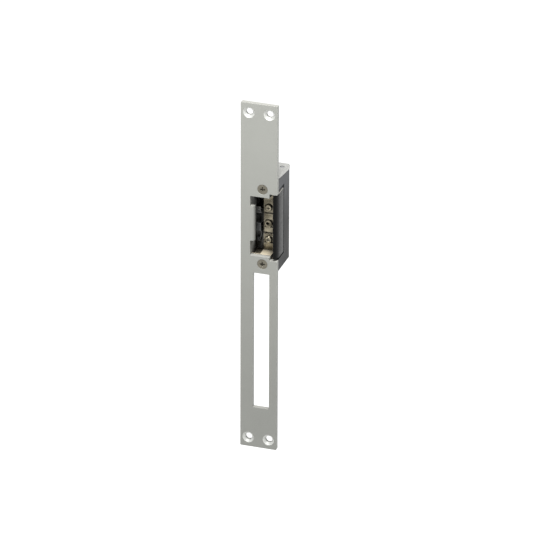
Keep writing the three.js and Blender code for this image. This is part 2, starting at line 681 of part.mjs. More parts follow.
place('release_lever', releaseLever(), softIron);
place('release_lever_pin', crossPin(RELEASE, RELEASE_PIN, SMALL_ROUND), brightSteel);

// ---- Terminals and coil leads ---------------------------------------------------------------------

function terminalBlock() {
  const { left, right, front, back, bottom, top } = TERMINAL;
  const { z, half } = WIRE_ENTRY;
  const cavities = Object.values(TERMINAL_X).map((x) => join(
    bar('y', [x, TERMINAL_SCREW.z], 20, back + PAST, TERMINAL_SCREW.head + 0.25),
    block(x - half, x + half, 19.5, back + PAST, z - half, z + half),
    block(
      x - CLAMP.half - 0.3, x + CLAMP.half + 0.3, CLAMP.front - 0.2, CLAMP.back + 0.4,
      CLAMP.bottom - 0.4, CLAMP.top + 0.5,
    ),
  ));
  return cut(block(left, right, front, back, bottom, top), ...cavities);
}

function terminalClamp(x) {
  const { half, front, back, bottom, top } = CLAMP;
  const clamp = block(x - half, x + half, front, back, bottom, top);
  return cut(clamp, bar('y', [x, TERMINAL_SCREW.z], front - 0.4, back + 0.6, TERMINAL_SCREW.shank + 0.15));
}

function terminalScrew(x) {
  const { z, head, headBack, shank, front } = TERMINAL_SCREW;
  const screw = join(
    bar('y', [x, z], CLAMP.back + 0.3, headBack, head),
    bar('y', [x, z], front, CLAMP.back + 0.6, shank),
  );
  const { half, length } = DRIVER_SLOT;
  return cut(screw, block(x - length, x + length, headBack - 0.6, headBack + PAST, z - half, z + half));
}

function coilLead(startX, endX) {
  const route = new THREE.CatmullRomCurve3([
    new THREE.Vector3(startX, LEAD.y, COIL.bottom - 0.2),
    new THREE.Vector3(startX, LEAD.y, LEAD.bendTop),
    new THREE.Vector3(endX, LEAD.y, LEAD.bendBottom),
    new THREE.Vector3(endX, LEAD.y - 0.5, TERMINAL.top + 0.2),
  ]);
  return wireAlong(route, LEAD.radius, 12);
}

place('terminal_block', terminalBlock(), blackNylon);
for (const [side, x] of Object.entries(TERMINAL_X)) {
  place(`terminal_clamp_${side}`, terminalClamp(x), brass);
  place(`terminal_screw_${side}`, terminalScrew(x), brass);
  place(`coil_lead_${side}`, coilLead(LEAD_START_X[side], x), redSleeve);
}

const doorStrike = new THREE.Group();
doorStrike.add(strike);

export default doorStrike;
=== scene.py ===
"""An electric door strike on a long faceplate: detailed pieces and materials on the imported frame.

Dimensions below are millimetres. x runs to the right from the faceplate's centre line, y goes back from
the faceplate's rear face, and heights are measured up from its bottom edge.
"""

import math

import bmesh
import bpy
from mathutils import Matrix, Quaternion, Vector


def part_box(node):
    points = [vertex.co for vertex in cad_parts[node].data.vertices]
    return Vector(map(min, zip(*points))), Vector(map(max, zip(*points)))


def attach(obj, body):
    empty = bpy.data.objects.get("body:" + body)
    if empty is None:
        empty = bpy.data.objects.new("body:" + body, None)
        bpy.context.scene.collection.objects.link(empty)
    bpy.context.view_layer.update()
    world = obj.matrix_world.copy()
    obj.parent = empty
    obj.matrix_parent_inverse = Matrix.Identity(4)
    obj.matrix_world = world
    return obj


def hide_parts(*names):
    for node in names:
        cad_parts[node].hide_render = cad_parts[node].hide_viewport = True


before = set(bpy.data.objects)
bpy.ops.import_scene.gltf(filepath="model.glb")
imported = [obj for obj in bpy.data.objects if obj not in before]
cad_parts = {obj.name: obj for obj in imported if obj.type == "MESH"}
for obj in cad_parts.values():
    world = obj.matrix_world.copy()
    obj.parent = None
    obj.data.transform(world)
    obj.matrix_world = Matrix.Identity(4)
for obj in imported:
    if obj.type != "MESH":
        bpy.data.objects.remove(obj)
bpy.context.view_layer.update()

# ---- Dimensions -------------------------------------------------------------------------------------

MM = 0.001
PLATE_LOW, PLATE_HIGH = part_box("faceplate")
ORIGIN = Vector(((PLATE_LOW.x + PLATE_HIGH.x) / 2, PLATE_HIGH.y, PLATE_LOW.z))
PLATE_WIDTH = (PLATE_HIGH.x - PLATE_LOW.x) / MM
PLATE_HEIGHT = (PLATE_HIGH.z - PLATE_LOW.z) / MM
PLATE_FRONT = -(PLATE_HIGH.y - PLATE_LOW.y) / MM

FIXING_HOLE = {"x": 7, "from_end": 6.7, "radius": 2.25, "sink": 3.9}
SCREW_HOLE = {"radius": 2, "sink": 3.7}
LATCH_SCREW = {"shank": 1.3, "hole": 1.45}
BETWEEN_HOLES = 220  # length of the middle of the faceplate, clear of its four corner holes
SINK_FACING = -0.707  # how far the wall of a 45 degree countersink faces along y
BOLT_SLOT = {"left": -4, "right": 7.25, "bottom": 29.5, "top": 128.5, "corner": 0.5}
CUT_OUT = {"left": -6, "step": 7.2, "bottom": 140.8, "top": 183.7, "tall_bottom": 138.7, "tall_top": 186.7}
TONGUE = {"right": -3.2, "bottom": 151.4, "top": 176.4, "edge": 2.2}
NOSE = {
    "inner_x": 9.5, "tip": 10, "depth": 5.2, "shoulder_front": 5.6, "shoulder_back": 7.6,
    "flank_end": 10.2,
}
KNUCKLE = 2.4
KEEPER_PIVOT = (10.1, 8.9)
PIN_BORE = 1.08
FOOT = {"left": -0.6, "right": 9, "front": 9.9, "bottom": 142, "top": 182.6}
TAIL = {"left": 8.4, "right": 10.5, "back": 14.6, "bottom": 142.3, "top": 146.3}
LATCH = {"front": 8.6, "back": 9.8, "centre": 160}
FINE = 72  # sides of a round feature
ROUND_STEPS = 14  # steps in a quarter circle

# ---- Modelling helpers ------------------------------------------------------------------------------


def place(x, y, height):
    return ORIGIN + Vector((x, y, height)) * MM


def to_millimetres(point):
    return (point - ORIGIN) / MM


def limits(node):
    """The low and high corners of a CAD node, in mm."""
    low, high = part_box(node)
    return to_millimetres(low), to_millimetres(high)


def object_from(mesh, name="tool"):
    data = bpy.data.meshes.new(name)
    bmesh.ops.recalc_face_normals(mesh, faces=mesh.faces)
    mesh.to_mesh(data)
    mesh.free()
    piece = bpy.data.objects.new(name, data)
    bpy.context.scene.collection.objects.link(piece)
    return piece


def along(axis, u, v, depth):
    """A point in mm: outlines are (y, z) along x, (x, z) along y and (x, y) along z."""
    return {"x": (depth, u, v), "y": (u, depth, v), "z": (u, v, depth)}[axis]


def solid_through(mesh, rings):
    """Closes the first and last of a row of equal rings of vertices, and joins each to the next."""
    mesh.faces.new(rings[0])
    mesh.faces.new(rings[-1])
    sides = len(rings[0])
    for ring, following in zip(rings, rings[1:]):
        for i in range(sides):
            j = (i + 1) % sides
            mesh.faces.new((ring[i], ring[j], following[j], following[i]))
    return object_from(mesh)


def prism(points, axis, start, end):
    mesh = bmesh.new()
    rings = []
    for depth in (start, end):
        rings.append([mesh.verts.new(place(*along(axis, u, v, depth))) for u, v in points])
    return solid_through(mesh, rings)


def block(x, y, height):
    """A rectangular solid from its (low, high) limits in each direction."""
    corners = [(x[0], y[0]), (x[1], y[0]), (x[1], y[1]), (x[0], y[1])]
    return prism(corners, "z", *height)


def lathe(profile, axis, centre, sides=FINE):
    """Turns (radius, distance along the axis) pairs into a round solid, closed at both ends."""
    mesh = bmesh.new()
    rings = []
    for radius, depth in profile:
        ring = []
        for step in range(sides):
            angle = 2 * math.pi * step / sides
            u = centre[0] + radius * math.cos(angle)
            v = centre[1] + radius * math.sin(angle)
            ring.append(mesh.verts.new(place(*along(axis, u, v, depth))))
        rings.append(ring)
    return solid_through(mesh, rings)


def wire(path, radius, sides=14):
    """A round wire along a list of points in mm, with flat cut ends."""
    points = [Vector(p) for p in path]
    mesh = bmesh.new()
    side = Vector((0, 0, 1)).cross(points[1] - points[0])
    if side.length < 1e-4:
        side = Vector((1, 0, 0))
    rings = []
    for i, point in enumerate(points):
        forward = (points[min(i + 1, len(points) - 1)] - points[max(i - 1, 0)]).normalized()
        side = (side - forward * side.dot(forward)).normalized()
        other = forward.cross(side)
        ring = []
        for step in range(sides):
            angle = 2 * math.pi * step / sides
            offset = (side * math.cos(angle) + other * math.sin(angle)) * radius
            ring.append(mesh.verts.new(place(*(point + offset))))
        rings.append(ring)
    return solid_through(mesh, rings)


def bake_modifiers(piece):
    bpy.context.view_layer.update()
    evaluated = piece.evaluated_get(bpy.context.evaluated_depsgraph_get())
    result = bpy.data.meshes.new_from_object(evaluated)
    piece.modifiers.clear()
    piece.data = result
    return piece


def combine(base, tools, operation):
    for tool in tools:
        step = base.modifiers.new(operation, "BOOLEAN")
        step.operation = operation
        step.solver = "EXACT"
        step.object = tool
    bake_modifiers(base)
    for tool in tools:
        bpy.data.objects.remove(tool)
    return base


def cut(base, *tools):
    return combine(base, tools, "DIFFERENCE")


def join(base, *others):
    return combine(base, others, "UNION")


def soften(piece, width, segments=3, angle=30):
    """Rounds the edges sharper than an angle, and keeps the flat faces looking flat."""
    for polygon in piece.data.polygons:
        polygon.use_smooth = True
    bevel = piece.modifiers.new("rounded edges", "BEVEL")
    bevel.width = width * MM
    bevel.segments = segments
    bevel.limit_method = "ANGLE"
    bevel.angle_limit = math.radians(angle)
    bevel.miter_outer = "MITER_ARC"
    normals = piece.modifiers.new("flat faces", "WEIGHTED_NORMAL")
    normals.mode = "FACE_AREA"
    normals.weight = 100
    return piece


def finish_piece(piece, name, body, slot, nodes, width, segments=3):
    """Names a piece, gives it the material named by slot, rounds its edges, attaches it to a body and
    hides its CAD nodes.
    """
    piece.name = name
    piece.data.name = name
    piece.data.materials.clear()
    piece.data.materials.append(MATERIALS[slot])
    soften(piece, width, segments)
    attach(piece, body)
    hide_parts(*nodes)
    return piece


def keep_node(node, material, width, segments=2):
    """Shows a CAD node as it is, with softened edges and a finished material."""
    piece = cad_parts[node]
    weld = piece.modifiers.new("weld", "WELD")
    weld.merge_threshold = 1e-6
    flat = piece.modifiers.new("flat", "DECIMATE")
    flat.decimate_type = "DISSOLVE"
    flat.angle_limit = math.radians(1)
    soften(piece, width, segments)
    for index in range(len(piece.material_slots)):
        piece.material_slots[index].material = MATERIALS[material]


def quarter(centre, radius, start_degrees, steps=ROUND_STEPS):
    """Points on a quarter circle that starts at an angle and turns anticlockwise."""
    points = []
    for step in range(steps + 1):
        angle = math.radians(start_degrees + 90 * step / steps)
        points.append((centre[0] + radius * math.cos(angle), centre[1] + radius * math.sin(angle)))
    return points


def rounded_rectangle(left, right, bottom, top, corner):
    return (
        quarter((right - corner, bottom + corner), corner, -90, 6)
        + quarter((right - corner, top - corner), corner, 0, 6)
        + quarter((left + corner, top - corner), corner, 90, 6)
        + quarter((left + corner, bottom + corner), corner, 180, 6)
    )


def cross_recess(x, height, face, direction, half_length, depth):
    """Two tapered bars that cut a cross for a screwdriver. direction is +1 if it goes towards +y."""
    bars = []
    half_width = half_length * 0.24
    for turned in (False, True):
        mesh = bmesh.new()
        rings = []
        for distance, shrink in ((-0.6, 1.12), (depth, 0.5)):
            ring = []
            for u_sign, v_sign in ((-1, -1), (1, -1), (1, 1), (-1, 1)):
                u = u_sign * half_length * shrink
                v = v_sign * half_width * (0.4 + 0.6 * shrink)
                if turned:
                    u, v = -v, u
                ring.append(mesh.verts.new(place(x + u, face + direction * distance, height + v)))
            rings.append(ring)
        bars.append(solid_through(mesh, rings))
    return bars


# ---- Materials --------------------------------------------------------------------------------------
# Tints by height, depth or facing stand in for light and reflections that the lamps below do not give.


def linear(red, green, blue):
    """An sRGB colour of 0 to 255 as the linear colour that shaders use."""
    channels = []
    for value in (red, green, blue):
        share = value / 255
        channels.append(share / 12.92 if share <= 0.04045 else ((share + 0.055) / 1.055) ** 2.4)
    return (*channels, 1)


class Surface:
    """A Principled material whose colour, roughness and relief are built up from noise."""

    def __init__(self, name, colour, roughness, metallic):
        self.material = bpy.data.materials.new(name)
        self.material.use_nodes = True
        self.nodes = self.material.node_tree.nodes
        self.links = self.material.node_tree.links
        self.shader = self.nodes["Principled BSDF"]
        self.shader.inputs["Metallic"].default_value = metallic
        self.where = self.nodes.new("ShaderNodeTexCoord").outputs["Object"]
        self.colour = self.nodes.new("ShaderNodeRGB").outputs[0]
        self.colour.default_value = colour
        self.roughness = self.nodes.new("ShaderNodeValue").outputs[0]
        self.roughness.default_value = roughness
        self.normal = None

    def noise(self, size, stretch=(1, 1, 1), detail=4, roughness=0.55):
        """Noise whose lumps are about size mm across, longer along a direction with a small stretch."""
        mapping = self.nodes.new("ShaderNodeMapping")
        mapping.inputs["Scale"].default_value = [s / (size * MM) for s in stretch]
        self.links.new(self.where, mapping.inputs["Vector"])
        texture = self.nodes.new("ShaderNodeTexNoise")
        texture.inputs["Scale"].default_value = 1
        texture.inputs["Detail"].default_value = detail
        texture.inputs["Roughness"].default_value = roughness
        self.links.new(mapping.outputs[0], texture.inputs["Vector"])
        return texture.outputs["Fac"]

    def between(self, value, low, high, from_low=0.3, from_high=0.7):
        """Spreads the part of value that lies from from_low to from_high over low to high."""
        step = self.nodes.new("ShaderNodeMapRange")
        step.inputs["From Min"].default_value = from_low
        step.inputs["From Max"].default_value = from_high
        step.inputs["To Min"].default_value = low
        step.inputs["To Max"].default_value = high
        self.links.new(value, step.inputs["Value"])
        return step.outputs["Result"]

    def tint(self, share, colour):
        """Mixes another colour in where share is high."""
        mix = self.nodes.new("ShaderNodeMix")
        mix.data_type = "RGBA"
        self.links.new(share, mix.inputs["Factor"])
        self.links.new(self.colour, mix.inputs[6])
        mix.inputs[7].default_value = colour
        self.colour = mix.outputs[2]

    def vary_roughness(self, value, low, high):
        add = self.nodes.new("ShaderNodeMath")
        add.operation = "ADD"
        add.use_clamp = True
        self.links.new(self.roughness, add.inputs[0])
        self.links.new(self.between(value, low, high), add.inputs[1])
        self.roughness = add.outputs[0]

    def relief(self, value, depth, strength=1.0):
        """Raises and sinks the surface by about depth mm."""
        bump = self.nodes.new("ShaderNodeBump")
        bump.inputs["Strength"].default_value = strength
        bump.inputs["Distance"].default_value = depth * MM
        self.links.new(value, bump.inputs["Height"])
        if self.normal is not None:
            self.links.new(self.normal, bump.inputs["Normal"])
        self.normal = bump.outputs["Normal"]

    def component(self, vector, axis):
        """One of the three parts of a vector, "X", "Y" or "Z"."""
        parts = self.nodes.new("ShaderNodeSeparateXYZ")
        self.links.new(vector, parts.inputs[0])
        return parts.outputs[axis]

    def facing(self, axis):
        """How far the surface faces along one of the object's own axes, from -1 to 1."""
        return self.component(self.nodes.new("ShaderNodeTexCoord").outputs["Normal"], axis)

    def near_value(self, value, centre, reach):
        """1 where value is within reach of centre, and 0 elsewhere."""
        compare = self.nodes.new("ShaderNodeMath")
        compare.operation = "COMPARE"
        compare.inputs[1].default_value = centre
        compare.inputs[2].default_value = reach
        self.links.new(value, compare.inputs[0])
        return compare.outputs[0]

    def height_share(self, top, bottom):
        """0 at one height in mm above the faceplate's foot, rising to 1 at another."""
        height = self.component(self.where, "Z")
        return self.between(height, 0, 1, place(0, 0, top).z, place(0, 0, bottom).z)

    def depth_share(self, front, back):
        """0 at one distance in mm behind the faceplate, rising to 1 at another."""
        depth = self.component(self.where, "Y")
        return self.between(depth, 0, 1, place(0, front, 0).y, place(0, back, 0).y)

    def product(self, first, second):
        multiply = self.nodes.new("ShaderNodeMath")
        multiply.operation = "MULTIPLY"
        self.links.new(first, multiply.inputs[0])
        self.links.new(second, multiply.inputs[1])
        return multiply.outputs[0]

    def edges(self, reach=0.3):
        """High within reach mm of an edge, where handling has rubbed the finish."""
        rounded = self.nodes.new("ShaderNodeBevel")
        rounded.samples = 4
        rounded.inputs["Radius"].default_value = reach * MM
        dot = self.nodes.new("ShaderNodeVectorMath")
        dot.operation = "DOT_PRODUCT"
        self.links.new(rounded.outputs["Normal"], dot.inputs[0])
        self.links.new(self.nodes.new("ShaderNodeNewGeometry").outputs["Normal"], dot.inputs[1])
        return self.between(dot.outputs["Value"], 1, 0, 0.85, 0.99)

    def painted_recess_shade(self, colour, reach, low=0.3, high=0.75):
        """Painted shade that darkens the places other surfaces close in on within reach mm."""
        open_air = self.nodes.new("ShaderNodeAmbientOcclusion")
        open_air.samples = 8
        open_air.inputs["Distance"].default_value = reach * MM
        self.tint(self.between(open_air.outputs["AO"], 1, 0, low, high), colour)

    def worn_edges(self, colour, amount=0.6, size=2.5):
        patches = self.between(self.noise(size), 0.15, amount)
        self.tint(self.product(self.edges(), patches), colour)

    def done(self):
        self.links.new(self.colour, self.shader.inputs["Base Color"])
        self.links.new(self.roughness, self.shader.inputs["Roughness"])
        if self.normal is not None:
            self.links.new(self.normal, self.shader.inputs["Normal"])
        return self.material


def painted_plate():
    """Satin silver-grey finish on steel; painted shade towards the foot, painted highlights in corner
    countersinks and facing up.
    """
    surface = Surface("painted_plate", linear(160, 161, 155), 0.48, 0.2)
    # Painted shade: the finish darkens towards the foot.
    surface.tint(surface.height_share(220, 50), linear(136, 137, 132))
    surface.tint(surface.between(surface.noise(22, detail=3), 0, 0.2), linear(149, 150, 144))
    surface.tint(surface.between(surface.noise(0.35, detail=2), 0, 0.2), linear(158, 159, 154))
    # Painted highlight: the walls of the corner countersinks are lightened.
    countersink_highlight = surface.near_value(surface.facing("Y"), SINK_FACING, 0.06)
    height = surface.component(surface.where, "Z")
    middle = surface.near_value(height, place(0, 0, PLATE_HEIGHT / 2).z, BETWEEN_HOLES / 2 * MM)
    surface.tint(surface.product(countersink_highlight, surface.between(middle, 1, 0, 0, 1)), linear(200, 201, 197))
    # Painted highlight on faces that look up.
    surface.tint(surface.between(surface.facing("Z"), 0, 1, 0.7, 0.95), linear(178, 178, 172))
    surface.vary_roughness(surface.noise(9), -0.05, 0.05)
    surface.relief(surface.noise(0.3, detail=3), 0.012, 0.5)
    surface.relief(surface.noise(1.8, detail=2), 0.02, 0.25)
    surface.worn_edges(linear(186, 187, 183), 0.5)
    return surface.done()


def cast_zinc():
    """Die-cast zinc alloy: bright grey with flow marks, a painted cream highlight on its low floor,
    painted shade in recesses.
    """
    surface = Surface("cast_zinc", linear(206, 206, 202), 0.42, 0.35)
    surface.tint(surface.between(surface.noise(7, (1, 1, 0.4)), 0, 0.4), linear(186, 187, 184))
    surface.tint(surface.between(surface.noise(0.6), 0, 0.3), linear(214, 214, 210))
    surface.vary_roughness(surface.noise(3), -0.08, 0.1)
    surface.relief(surface.noise(0.5, detail=5), 0.03, 0.5)
    surface.relief(surface.noise(4), 0.08, 0.3)
    # Painted highlight: cream light on the upward faces of the pocket's low floor.
    painted_floor_highlight = surface.product(surface.facing("Z"), surface.height_share(150, 146))
    surface.tint(painted_floor_highlight, linear(232, 220, 194))
    # Painted shade where other surfaces close in.
    surface.painted_recess_shade(linear(32, 28, 23), 10, 0.28, 0.68)
    return surface.done()


def blue_steel():
    """Rolled steel sheet with a bluish oxide and long faint rolling marks, and painted shade lower down.
    """
    surface = Surface("blue_steel", linear(86, 88, 91), 0.5, 0.3)
    surface.shader.inputs["Specular IOR Level"].default_value = 0.25
    surface.tint(surface.between(surface.noise(1.1, (1, 1, 0.06)), 0, 0.35), linear(70, 71, 73))
    surface.tint(surface.between(surface.noise(16), 0, 0.4), linear(78, 79, 79))
    # Painted shade: darker lower down.
    surface.tint(surface.height_share(190, 160), linear(38, 39, 39))
    surface.vary_roughness(surface.noise(1.4, (1, 1, 0.08)), -0.06, 0.08)
    surface.relief(surface.noise(0.35, (1, 1, 0.05)), 0.01, 0.4)
    surface.worn_edges(linear(120, 122, 124), 0.5)
    return surface.done()


def dark_steel():
    """Blackened steel with rubbed edges, a painted grey reflection on its outer flank and a painted
    highlight on its upper end.
    """
    surface = Surface("dark_steel", linear(8, 8, 8), 0.3, 0)
    surface.shader.inputs["Specular IOR Level"].default_value = 0.1
    surface.tint(surface.between(surface.noise(5), 0, 0.5), linear(17, 17, 16))
    surface.worn_edges(linear(38, 37, 35), 0.35)
    # Painted reflection greying the outer flank behind the nose.
    flank_reflection = surface.between(surface.facing("X"), 0, 1, 0.3, 0.6)
    surface.tint(surface.product(flank_reflection, surface.depth_share(2.6, 7)), linear(68, 69, 68))
    # Painted highlight on faces that look up, at the keeper's upper end.
    surface.tint(surface.between(surface.facing("Z"), 0, 0.9, 0.6, 0.95), linear(176, 174, 168))
    surface.vary_roughness(surface.noise(2.2), -0.06, 0.1)
    surface.relief(surface.noise(0.5), 0.012, 0.4)
    return surface.done()


def screw_steel():
    """Dull brownish steel of a machine screw, with turning marks left as a fine grain."""
    surface = Surface("screw_steel", linear(124, 120, 108), 0.32, 0.75)
    surface.tint(surface.between(surface.noise(1.6), 0, 0.6), linear(88, 84, 74))
    surface.vary_roughness(surface.noise(0.8), -0.05, 0.12)
    surface.relief(surface.noise(0.25), 0.01, 0.5)
    # Painted shade in the cross recess and where other surfaces close in.
    surface.painted_recess_shade(linear(58, 54, 47), 1.0, 0.2, 0.7)
    surface.worn_edges(linear(150, 146, 134), 0.5)
    return surface.done()


def yellow_zinc():
    """Yellow-passivated zinc plating: warm beige with olive and brown drifts, painted shade where surfaces
    close in.
    """
    surface = Surface("yellow_zinc", linear(168, 160, 138), 0.27, 0.7)
    bands = surface.noise(4.2, (0.5, 0.5, 1), detail=2, roughness=0.4)
    surface.tint(surface.between(bands, 0, 1, 0.42, 0.6), linear(66, 62, 46))
    surface.tint(surface.between(surface.noise(2.6, detail=2), 0, 0.5), linear(132, 122, 104))
    surface.vary_roughness(surface.noise(1.5), -0.08, 0.12)
    surface.relief(surface.noise(0.6, detail=2), 0.008, 0.4)
    surface.relief(surface.noise(2.4, detail=2), 0.12, 0.5)
    # Painted shade where other surfaces close in.
    surface.painted_recess_shade(linear(24, 21, 14), 10, 0.25, 0.8)
    surface.worn_edges(linear(236, 228, 208), 0.7)
    return surface.done()


def bright_steel():
    """Ground bright steel, with fine scratches round the part."""
    surface = Surface("bright_steel", linear(196, 197, 198), 0.34, 0.5)
    surface.tint(surface.between(surface.noise(1.2), 0, 0.4), linear(170, 171, 173))
    surface.vary_roughness(surface.noise(0.6, (1, 1, 0.2)), -0.06, 0.1)
    surface.relief(surface.noise(0.2, (1, 1, 0.2)), 0.005, 0.4)
    return surface.done()


def soft_iron():
    """Annealed iron: matt grey with darker clouds from heat treatment, painted shade deep inside and in
    recesses.
    """
    surface = Surface("soft_iron", linear(140, 142, 142), 0.44, 0.6)
    surface.tint(surface.between(surface.noise(3), 0, 0.55), linear(112, 112, 115))
    surface.vary_roughness(surface.noise(1.2), -0.05, 0.12)
    surface.relief(surface.noise(0.3), 0.01, 0.5)
    # Painted shade: darker deeper inside, and where other surfaces close in.
    surface.tint(surface.depth_share(9.6, 12.4), linear(34, 34, 34))
    surface.painted_recess_shade(linear(14, 14, 14), 12, 0.2, 0.85)
    surface.worn_edges(linear(190, 190, 190), 0.6)
    return surface.done()


def spring_steel():
    """Drawn spring wire, oil-tempered, with marks along the wire."""
    surface = Surface("spring_steel", linear(150, 153, 158), 0.28, 0.95)
    surface.tint(surface.between(surface.noise(0.8), 0, 0.5), linear(112, 114, 120))
    surface.relief(surface.noise(0.12), 0.004, 0.4)
    return surface.done()


def brass():
    """Turned brass that has begun to dull."""
    surface = Surface("brass", linear(206, 172, 96), 0.28, 1)
    surface.tint(surface.between(surface.noise(1.4), 0, 0.5), linear(164, 128, 66))
    surface.vary_roughness(surface.noise(0.7), -0.05, 0.15)
    surface.relief(surface.noise(0.2), 0.006, 0.4)
    return surface.done()


def coil_tape():
    """Dark varnished wrapping over the winding, with the turns showing through."""
    surface = Surface("coil_tape", linear(44, 32, 26), 0.42, 0.1)
    surface.tint(surface.between(surface.noise(1, (1, 1, 3)), 0, 0.6), linear(66, 44, 32))
    # Painted shade where other surfaces close in.
    surface.painted_recess_shade(linear(16, 13, 11), 12, 0.3, 0.9)
    surface.vary_roughness(surface.noise(0.8), -0.1, 0.15)
    surface.relief(surface.noise(0.3), 0.02, 0.5)
    return surface.done()


def pale_nylon():
    """Natural nylon, slightly yellowed and a little translucent."""
    surface = Surface("pale_nylon", linear(222, 217, 203), 0.5, 0)
    surface.tint(surface.between(surface.noise(3), 0, 0.4), linear(206, 199, 180))
    # Painted shade where other surfaces close in.
    surface.painted_recess_shade(linear(28, 26, 22), 12, 0.3, 0.9)
    surface.relief(surface.noise(0.3), 0.01, 0.4)
    surface.shader.inputs["Subsurface Weight"].default_value = 0.08
    surface.shader.inputs["Subsurface Scale"].default_value = 0.6 * MM
    return surface.done()


def black_nylon():
    """Black glass-filled nylon, greyed on its edges."""
    surface = Surface("black_nylon", linear(40, 40, 42), 0.5, 0)
    surface.tint(surface.between(surface.noise(2), 0, 0.4), linear(30, 30, 31))
    surface.relief(surface.noise(0.25), 0.02, 0.6)
    surface.worn_edges(linear(84, 84, 86), 0.4)
    return surface.done()


def lead_sleeve():
    """Dark insulation of a thin wire."""
    surface = Surface("lead_sleeve", linear(46, 46, 48), 0.45, 0)
    surface.tint(surface.between(surface.noise(1), 0, 0.4), linear(32, 32, 34))
    surface.relief(surface.noise(0.2), 0.008, 0.4)
    return surface.done()


MATERIALS = {
    make.__name__: make()
    for make in (
        painted_plate, cast_zinc, blue_steel, dark_steel, screw_steel, yellow_zinc, bright_steel,
        soft_iron, spring_steel, brass, coil_tape, pale_nylon, black_nylon, lead_sleeve,
    )
}

# ---- Faceplate and its screws -----------------------------------------------------------------------


def countersink(x, height, radius, sink):
    past = 0.5
    profile = [
        (sink + past, PLATE_FRONT - past),
        (radius, PLATE_FRONT + sink - radius),
        (radius, past),
    ]
    return lathe(profile, "y", (x, height))


def plate_outline():
    half = PLATE_WIDTH / 2
    corner = 0.6
    lower_left = quarter((-half + corner, corner), corner, 180, 6)
    lower_right = quarter((half - corner, corner), corner, -90, 6)
    upper_right = quarter((half - corner, PLATE_HEIGHT - corner), corner, 0, 6)
    upper_left = quarter((-half + corner, PLATE_HEIGHT - corner), corner, 90, 6)
    notch = [
        (half, CUT_OUT["tall_bottom"]), (CUT_OUT["step"], CUT_OUT["tall_bottom"]),
        (CUT_OUT["step"], CUT_OUT["bottom"]), (CUT_OUT["left"], CUT_OUT["bottom"]),
        (CUT_OUT["left"], TONGUE["bottom"]), (TONGUE["right"], TONGUE["bottom"]),
        (TONGUE["right"], TONGUE["top"]), (CUT_OUT["left"], TONGUE["top"]),
        (CUT_OUT["left"], CUT_OUT["top"]), (CUT_OUT["step"], CUT_OUT["top"]),
        (CUT_OUT["step"], CUT_OUT["tall_top"]), (half, CUT_OUT["tall_top"]),
    ]
    return lower_left + lower_right + notch + upper_right + upper_left


def tongue_rounding():
    """What is cut away to round the tongue's edge where the latch slides in."""
    edge = TONGUE["edge"]
    centre = (TONGUE["right"] - edge, PLATE_FRONT + edge)
    past = 0.4
    curve = quarter(centre, edge, -90)
    outside = [
        (TONGUE["right"] + past, centre[1]),
        (TONGUE["right"] + past, PLATE_FRONT - past),
        (centre[0], PLATE_FRONT - past),
    ]
    return prism(curve + outside, "z", TONGUE["bottom"] - past, TONGUE["top"] + past)


def build_faceplate():
    plate = prism(plate_outline(), "y", PLATE_FRONT, 0)
    slot = prism(
        rounded_rectangle(*(BOLT_SLOT[k] for k in ("left", "right", "bottom", "top", "corner"))),
        "y", PLATE_FRONT - 1, 1,
    )
    tools = [slot, tongue_rounding()]
    for x in (-FIXING_HOLE["x"], FIXING_HOLE["x"]):
        for height in (FIXING_HOLE["from_end"], PLATE_HEIGHT - FIXING_HOLE["from_end"]):
            tools.append(countersink(x, height, FIXING_HOLE["radius"], FIXING_HOLE["sink"]))
    for node in ("faceplate_screw_upper", "faceplate_screw_lower"):
        x, height = screw_centre(node)
        tools.append(countersink(x, height, SCREW_HOLE["radius"], SCREW_HOLE["sink"]))
    cut(plate, *tools)
    finish_piece(plate, "faceplate_shaped", "fixed_body", "painted_plate", ["faceplate"], 0.22)


def screw_centre(node):
    low, high = limits(node)
    return (low.x + high.x) / 2, (low.z + high.z) / 2


def threaded(radius, start, end, pitch):
    """Profile of a shank with a rounded thread, from just behind the head to a chamfered tip."""
    profile = []
    root = radius - pitch * 0.35
    turns = int((end - start) / pitch)
    for turn in range(turns):
        base = start + turn * pitch
        profile += [(root, base), (radius, base + pitch * 0.4), (radius, base + pitch * 0.6)]
    profile += [(root, start + turns * pitch), (root * 0.8, end)]
    return profile


def build_plate_screw(node):
    low, high = limits(node)
    centre = screw_centre(node)
    head = (high.x - low.x) / 2
    shank = 1.6
    seat = low.y + head - shank
    profile = [(head * 0.93, low.y), (head, low.y + 0.12), (shank, seat)]
    profile += threaded(shank, seat + 0.8, high.y, 0.7)
    screw = lathe(profile, "y", centre)
    cut(screw, *cross_recess(*centre, low.y, 1, 2.0, 1.5))
    finish_piece(screw, node + "_turned", "fixed_body", "screw_steel", [node], 0.06, 2)


# ---- Keeper and latch plate -------------------------------------------------------------------------


def jaw_outline():
    pivot_x, pivot_y = KEEPER_PIVOT
    flank = limits("keeper")[1].x
    inner = NOSE["inner_x"]
    points = [(inner, NOSE["shoulder_front"]), (inner, PLATE_FRONT + NOSE["tip"] - inner)]
    points += [(inner + 0.15, PLATE_FRONT + 0.15)]
    for step in range(ROUND_STEPS + 1):
        angle = math.radians(-90 + 90 * step / ROUND_STEPS)
        points.append((
            NOSE["tip"] + (flank - NOSE["tip"]) * math.cos(angle),
            PLATE_FRONT + NOSE["depth"] + NOSE["depth"] * math.sin(angle),
        ))
    points.append((flank, NOSE["flank_end"]))
    for step in range(2 * ROUND_STEPS + 1):
        angle = math.pi / 3 + math.pi * 2 / 3 * step / (2 * ROUND_STEPS)
        points.append((pivot_x + KNUCKLE * math.cos(angle), pivot_y + KNUCKLE * math.sin(angle)))
    points.append((pivot_x - KNUCKLE, NOSE["shoulder_back"]))
    return points


